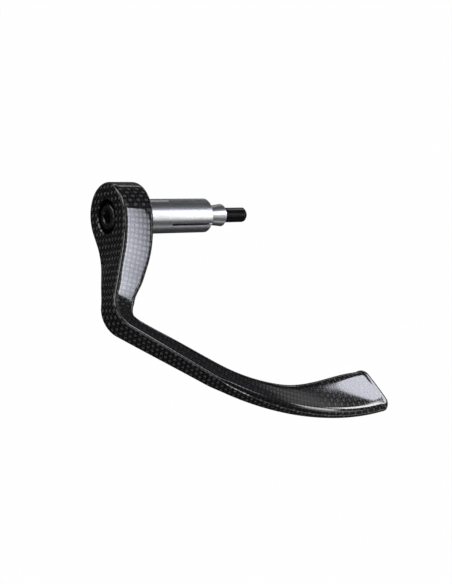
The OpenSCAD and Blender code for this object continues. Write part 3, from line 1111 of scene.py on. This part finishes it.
@dataclass
class ClampScrew:
    """Socket cap screw with a real thread on its inboard end."""

    top: float = -12.9
    head_d: float = 9.8
    head_h: float = 6.0
    head_r: float = 0.9
    shank_d: float = 6.0
    end: float = 52.3
    tip: float = 0.9
    pitch: float = 1.0
    thread_start: float = 29.0
    thread_depth: float = 0.6
    socket_af: float = 5.0
    socket_depth: float = 3.0
    socket_turn: float = -6.0
    socket_lead: float = 0.55
    drill_l: float = 1.3
    under_edge: float = 0.3
    fillet: float = 0.25
    run_out: Point2 = (0.2, 0.8)
    thread_steps: int = 36
    thread_flanks: tuple[float, float, float, float] = (0.08, 0.42, 0.54, 0.88)
    thread_sink: float = 0.02
    past: float = 1.0
    finish: BlackFinish = BlackFinish(
        "black_oxide_steel", (0.006, 0.006, 0.0063), (0.018, 0.018, 0.0185), 0.17)

    def build(self) -> bpy.types.Object:
        """Builds and dresses the screw."""
        r, shank = self.head_d / 2, self.shank_d / 2
        seat, start, root = self.top + self.head_h, self.thread_start, shank - self.thread_depth
        edge, fillet, out = self.under_edge, self.fillet, self.run_out
        profile = [(self.top, 0.0), (self.top, r - self.head_r)]
        profile += arc((self.top + self.head_r, r - self.head_r), self.head_r, 180.0, 90.0, 8)[1:]
        profile += [(seat - edge, r), (seat, r - edge), (seat, shank + fillet),
                    (seat + fillet, shank), (start + out[0], shank), (start + out[1], root),
                    (self.end - self.past, root), (self.end - self.past, 0.0)]
        screw = lathe("clamp_screw_threaded", profile, 96)
        screw.combine(self._socket(), "DIFFERENCE")
        screw.combine(self._thread(), "UNION")
        piece = screw.finish(self.finish.build(), smooth=30.0)
        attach(piece, "screw")
        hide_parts("clamp_screw")
        return piece

    def _socket(self) -> Solid:
        """Tool for the hexagon socket, its lead-in and its drill point."""
        radius = self.socket_af / 2 / math.cos(math.pi / 6)
        depth = self.socket_depth + self.past
        bm = bmesh.new()
        bmesh.ops.create_cone(bm, segments=6, radius1=radius, radius2=radius,
                              depth=depth, cap_ends=True)
        bmesh.ops.translate(bm, vec=(0, 0, depth / 2 - self.past), verts=bm.verts)
        axis = Matrix.Rotation(math.radians(90.0), 4, "Y")
        turn = Matrix.Rotation(math.radians(self.socket_turn), 4, "X")
        bmesh.ops.transform(bm, matrix=Matrix.Translation((self.top, 0, 0)) @ turn @ axis,
                            verts=bm.verts)
        hexagon = Solid("socket_tool", bm)
        mouth, floor = self.top - self.past / 2, self.top + self.socket_depth
        lead = radius + self.socket_lead
        cone = lathe("lead_in", ((mouth, 0.0), (mouth, lead), (mouth + lead, 0.0)), 64)
        drill = lathe("drill", ((floor - 0.1, 0.0), (floor - 0.1, self.socket_af / 2),
                                (floor + self.drill_l, 0.0)), 64)
        return hexagon.combine(cone, "UNION").combine(drill, "UNION")

    def _thread(self) -> Solid:
        """Helical ridge, spun with a steady advance, closed and cut to the screw's tip."""
        steps, crest = self.thread_steps, self.shank_d / 2
        root = crest - self.thread_depth
        turns = int((self.end - self.thread_start) / self.pitch) + 2
        start = self.thread_start - self.pitch
        bm = bmesh.new()
        sunk = root - self.thread_sink
        verts = [bm.verts.new((start + u * self.pitch, 0.0, r)) for u, r in zip(
            (0.0, *self.thread_flanks, 1.0), (sunk, root, crest, crest, root, sunk))]
        edges = [bm.edges.new(pair) for pair in zip(verts, verts[1:])]
        bmesh.ops.spin(bm, geom=verts + edges, cent=(0, 0, 0), axis=(1, 0, 0),
                       dvec=(self.pitch / steps, 0, 0), angle=2.0 * math.pi * turns,
                       steps=steps * turns, use_merge=False, use_normal_flip=False,
                       use_duplicate=False)
        bmesh.ops.remove_doubles(bm, verts=bm.verts, dist=NEAR)
        for x, side in ((self.thread_start, 1.0), (self.end + 0.6, -1.0)):
            geom = list(bm.verts) + list(bm.edges) + list(bm.faces)
            bmesh.ops.bisect_plane(bm, geom=geom, plane_co=(x, 0, 0), plane_no=(-side, 0, 0),
                                   clear_outer=True)
            rim = [e for e in bm.edges if len(e.link_faces) == 1]
            bmesh.ops.contextual_create(
                bm, geom=[e for e in rim if all(abs(v.co.x - x) < NEAR for v in e.verts)])
        bmesh.ops.recalc_face_normals(bm, faces=bm.faces)
        thread = Solid("thread", bm)
        crest_r = crest + 0.001
        first = self.thread_start + 0.1
        envelope = lathe("envelope", (
            (first, 0.0), (first, root), (first + self.run_out[1], crest_r),
            (self.end - self.tip, crest_r), (self.end, crest_r - self.tip), (self.end, 0.0)), 96)
        return thread.combine(envelope, "INTERSECT")


@dataclass
class FlangedBush:
    """Bush bonded into the head, whose flange shows round the screw."""

    seat: float = -6.9
    flange: float = -5.4
    flange_d: float = 12.8
    barrel_d: float = 9.0
    hole_d: float = 6.4
    edge: float = 0.2
    finish: BlackFinish = BlackFinish(
        "black_anodised_bush", (0.02, 0.02, 0.021), (0.028, 0.028, 0.03), 0.42)

    def build(self) -> bpy.types.Object:
        """Builds and dresses the bush."""
        f, b, h, c = self.flange_d / 2, self.barrel_d / 2, self.hole_d / 2, self.edge
        bush = lathe("flanged_bush_turned", (
            (self.seat, h + c), (self.seat, f - c), (self.seat + c, f), (self.flange, f),
            (self.flange, b), (0.0, b), (0.0, h), (self.seat + c, h)), closed=True)
        piece = bush.finish(self.finish.build())
        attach(piece, "arm")
        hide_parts("flanged_bush")
        return piece


# The studio

class Shape(Enum):
    """Outlines of a soft lamp."""

    PANEL = "RECTANGLE"
    DISH = "DISK"


@dataclass(frozen=True)
class Softbox:
    """Soft lamp: where it hangs, where it points, its size and its brightness, in metres."""

    name: str
    place: tuple[float, float, float]
    aim: tuple[float, float, float] | None
    size: tuple[float, float]
    radiance: float
    shape: Shape = Shape.PANEL
    color: Color = (1.0, 1.0, 1.0)
    turn: float = 0.0
    fade: float = 0.12
    fall: float = 0.0

    def build(self) -> bpy.types.Object:
        """Hangs the lamp."""
        lamp = bpy.data.lights.new(self.name, "AREA")
        lamp.shape = self.shape.value
        lamp.size, lamp.size_y = self.size
        lamp.color = self.color
        fill = math.pi / 4.0 if self.shape is Shape.DISH else 1.0
        lamp.energy = self.radiance * math.pi * self.size[0] * self.size[1] * fill
        self._spread(lamp)
        holder = linked(self.name, lamp)
        holder.visible_camera = False
        ray = Vector(self.aim) - Vector(self.place) if self.aim else Vector((0.0, 0.0, -1.0))
        holder.matrix_world = (Matrix.Translation(self.place)
                               @ ray.to_track_quat("-Z", "Y").to_matrix().to_4x4()
                               @ Matrix.Rotation(math.radians(self.turn), 4, "Z"))
        return holder

    def _spread(self, lamp: bpy.types.Light) -> None:
        """Fades the cloth's glow towards its frame, and makes it fall off from one side."""
        lamp.use_nodes = True
        n = Nodes(lamp.node_tree)
        cloth = n.split(n.new("ShaderNodeNewGeometry").outputs["Parametric"])
        level = n.less(1.0, n.times(cloth["X"], self.fall))
        for side in "XY" if self.shape is Shape.PANEL else "":
            near = n.math("MINIMUM", cloth[side], n.less(1.0, cloth[side]))
            level = n.times(level, n.ramp(near, 0.0, self.fade))
        n.feed(n.find("EMISSION").inputs["Strength"], level)


@dataclass
class Studio:
    """Pale floor, soft lamps, dark floor sheets seen only in reflections as painted dark
    reflections, an even grey room and the camera.
    """

    floor_z: float = -0.128
    floor_size: float = 6.0
    floor_color: Color = (0.8, 0.8, 0.8)
    floor_glow: float = 0.985
    card_lift: float = 0.002
    card_roughness: float = 0.9
    room: Color = (0.05, 0.05, 0.052)
    softboxes: tuple[Softbox, ...] = (
        Softbox("key_softbox", (0.945, -0.03, 2.0), None, (0.86, 0.67), 13.0,
                color=(0.86, 0.88, 1.0), fade=0.07, fall=0.76),
        Softbox("band_softbox", (0.465, -0.225, 0.5), None, (0.11, 0.27), 8.0, fade=0.2),
        Softbox("edge_strip", (0.572, -0.058, 0.5), None, (0.12, 0.05), 13.0,
                turn=28.0, fade=0.25),
        Softbox("rim_panel", (0.466, 0.307, 0.06), (-0.008, -0.047, 0.0), (0.045, 0.1), 3.5),
        Softbox("sleeve_panel", (0.52, -0.46, 0.5), (0.02, -0.02, 0.0), (0.3, 0.26), 1.7,
                fade=0.3),
        Softbox("paddle_dish", (0.666, 0.05, 0.5), None, (0.196, 0.196), 9.5,
                shape=Shape.DISH, color=(0.88, 0.89, 1.0)),
        Softbox("tail_panel", (0.51, 0.015, 0.5), None, (0.1, 0.17), 0.85, fade=0.3),
        Softbox("left_panel", (-0.495, 0.373, 0.395), (0.0, -0.02, 0.0), (0.5, 0.34), 3.4),
        Softbox("corner_panel", (-0.61, -0.108, 0.50), (-0.01, -0.03, 0.0), (0.46, 0.34), 2.2),
        Softbox("front_panel", (-0.21, -0.60, 0.43), (0.0, -0.05, 0.0), (0.62, 0.34), 2.2),
        Softbox("streak_panel", (0.013, -0.67, -0.045), (0.025, -0.075, 0.0), (0.08, 0.15), 9.0),
        Softbox("back_panel", (-0.43, 0.49, 0.05), (0.0, 0.0, 0.0), (0.3, 0.3), 4.2, fade=0.3),
        Softbox("overhead", (0.0, 0.25, 1.4), (0.0, -0.02, 0.0), (1.2, 1.2), 0.6),
    )

    # Painted dark reflections: sheets on the floor that only reflections show, darkening what the
    # glossy faces and the sleeve reflect.
    reflection_cards: tuple[tuple[str, Point2, Point2, float], ...] = (
        ("left_card", (-0.5, -0.6), (-0.045, 0.6), 0.01),
        ("front_card", (-0.045, -0.6), (0.6, 0.02), 0.02),
        ("back_card", (-0.045, 0.02), (0.6, 0.6), 0.12),
    )

    def build(self) -> None:
        """Builds the room, the lamps and the camera."""
        self._floor()
        self._reflection_cards()
        self._world()
        for softbox in self.softboxes:
            softbox.build()
        Camera().build()

    @staticmethod
    def _plane(name: str, low: Point2, high: Point2, z: float,
               material: bpy.types.Material) -> bpy.types.Object:
        """A level rectangle between two corners, not attached to any of the object's bodies."""
        bm = bmesh.new()
        bmesh.ops.create_grid(bm, x_segments=1, y_segments=1, size=0.5)
        bmesh.ops.scale(bm, vec=(high[0] - low[0], high[1] - low[1], 1.0), verts=bm.verts)
        bmesh.ops.translate(bm, vec=((low[0] + high[0]) / 2, (low[1] + high[1]) / 2, z),
                            verts=bm.verts)
        mesh = bpy.data.meshes.new(name)
        bm.to_mesh(mesh)
        bm.free()
        mesh.materials.append(material)
        plane = linked(name, mesh)
        return plane

    def _reflection_cards(self) -> None:
        """A dark card on the floor for each row, which only reflections show: painted dark
        reflections that give the glossy faces and the sleeve their dark sides.
        """
        for name, low, high, shade in self.reflection_cards:
            material, _, shader = new_material(name, (shade, shade, shade))
            shader.inputs["Roughness"].default_value = self.card_roughness
            card = self._plane(name, low, high, self.floor_z + self.card_lift, material)
            card.visible_camera = False
            card.visible_diffuse = False
            card.visible_shadow = False
            card.visible_transmission = False

    def _floor(self) -> None:
        """A plain pale floor that shows as white and keeps a soft shadow."""
        material = bpy.data.materials.new("pale_floor")
        material.use_nodes = True
        n = Nodes(material.node_tree)
        material.node_tree.nodes.clear()
        diffuse = n.new("ShaderNodeBsdfDiffuse")
        diffuse.inputs["Color"].default_value = (*self.floor_color, 1.0)
        glow = n.new("ShaderNodeEmission")
        glow.inputs["Strength"].default_value = 1.0
        ray = n.new("ShaderNodeLightPath").outputs
        seen = n.math("MAXIMUM", ray["Is Camera Ray"],
                      n.math("MAXIMUM", ray["Is Glossy Ray"], ray["Is Transmission Ray"]))
        mix = n.new("ShaderNodeMixShader")
        n.feed(mix.inputs[0], n.times(seen, self.floor_glow))
        n.feed(mix.inputs[1], diffuse.outputs[0])
        n.feed(mix.inputs[2], glow.outputs[0])
        n.feed(n.new("ShaderNodeOutputMaterial").inputs["Surface"], mix.outputs[0])
        half = self.floor_size / 2
        self._plane("floor", (-half, -half), (half, half), self.floor_z, material)

    def _world(self) -> None:
        """An even grey room."""
        world = bpy.data.worlds.new("room")
        bpy.context.scene.world = world
        world.use_nodes = True
        back = Nodes(world.node_tree).find("BACKGROUND")
        back.inputs["Color"].default_value = (*self.room, 1.0)
        back.inputs["Strength"].default_value = 1.0
        bpy.context.scene.view_settings.view_transform = "Standard"


@dataclass(frozen=True)
class Camera:
    """The photograph's viewpoint, found from the sleeve's axis and the arm's outline."""

    center: tuple[float, float, float] = (-0.225299, -0.14636, 0.325994)
    right: tuple[float, float, float] = (0.799316, -0.261376, 0.541088)
    up: tuple[float, float, float] = (0.055505, 0.928712, 0.366625)
    back: tuple[float, float, float] = (-0.598342, -0.263016, 0.756842)
    focal_pixels: float = 1096.0
    picture_height: float = 584.0
    sensor: float = 36.0

    def build(self) -> bpy.types.Object:
        """Sets the camera up and makes it the scene's."""
        data = bpy.data.cameras.new("camera")
        data.sensor_fit = "VERTICAL"
        data.sensor_height = self.sensor
        data.lens = self.focal_pixels / self.picture_height * self.sensor
        data.clip_start = 0.005
        data.clip_end = 50.0
        holder = linked("camera", data)
        turn = Matrix((self.right, self.up, self.back)).transposed().to_4x4()
        holder.matrix_world = Matrix.Translation(self.center) @ turn
        bpy.context.scene.camera = holder
        return holder


def main() -> None:
    """Builds the guard piece by piece, then the studio."""
    logging.basicConfig(level=logging.INFO, format="%(message)s")
    builders: tuple[Callable[[], object], ...] = (
        GuardArm().build, FlangedBush().build, ExpanderSet().build, ClampScrew().build)
    for build in builders:
        made = build()
        for piece in made if isinstance(made, list) else [made]:
            LOG.info("%s: %d faces", piece.name, len(piece.data.polygons))
    Studio().build()


if __name__ == "__main__":
    main()
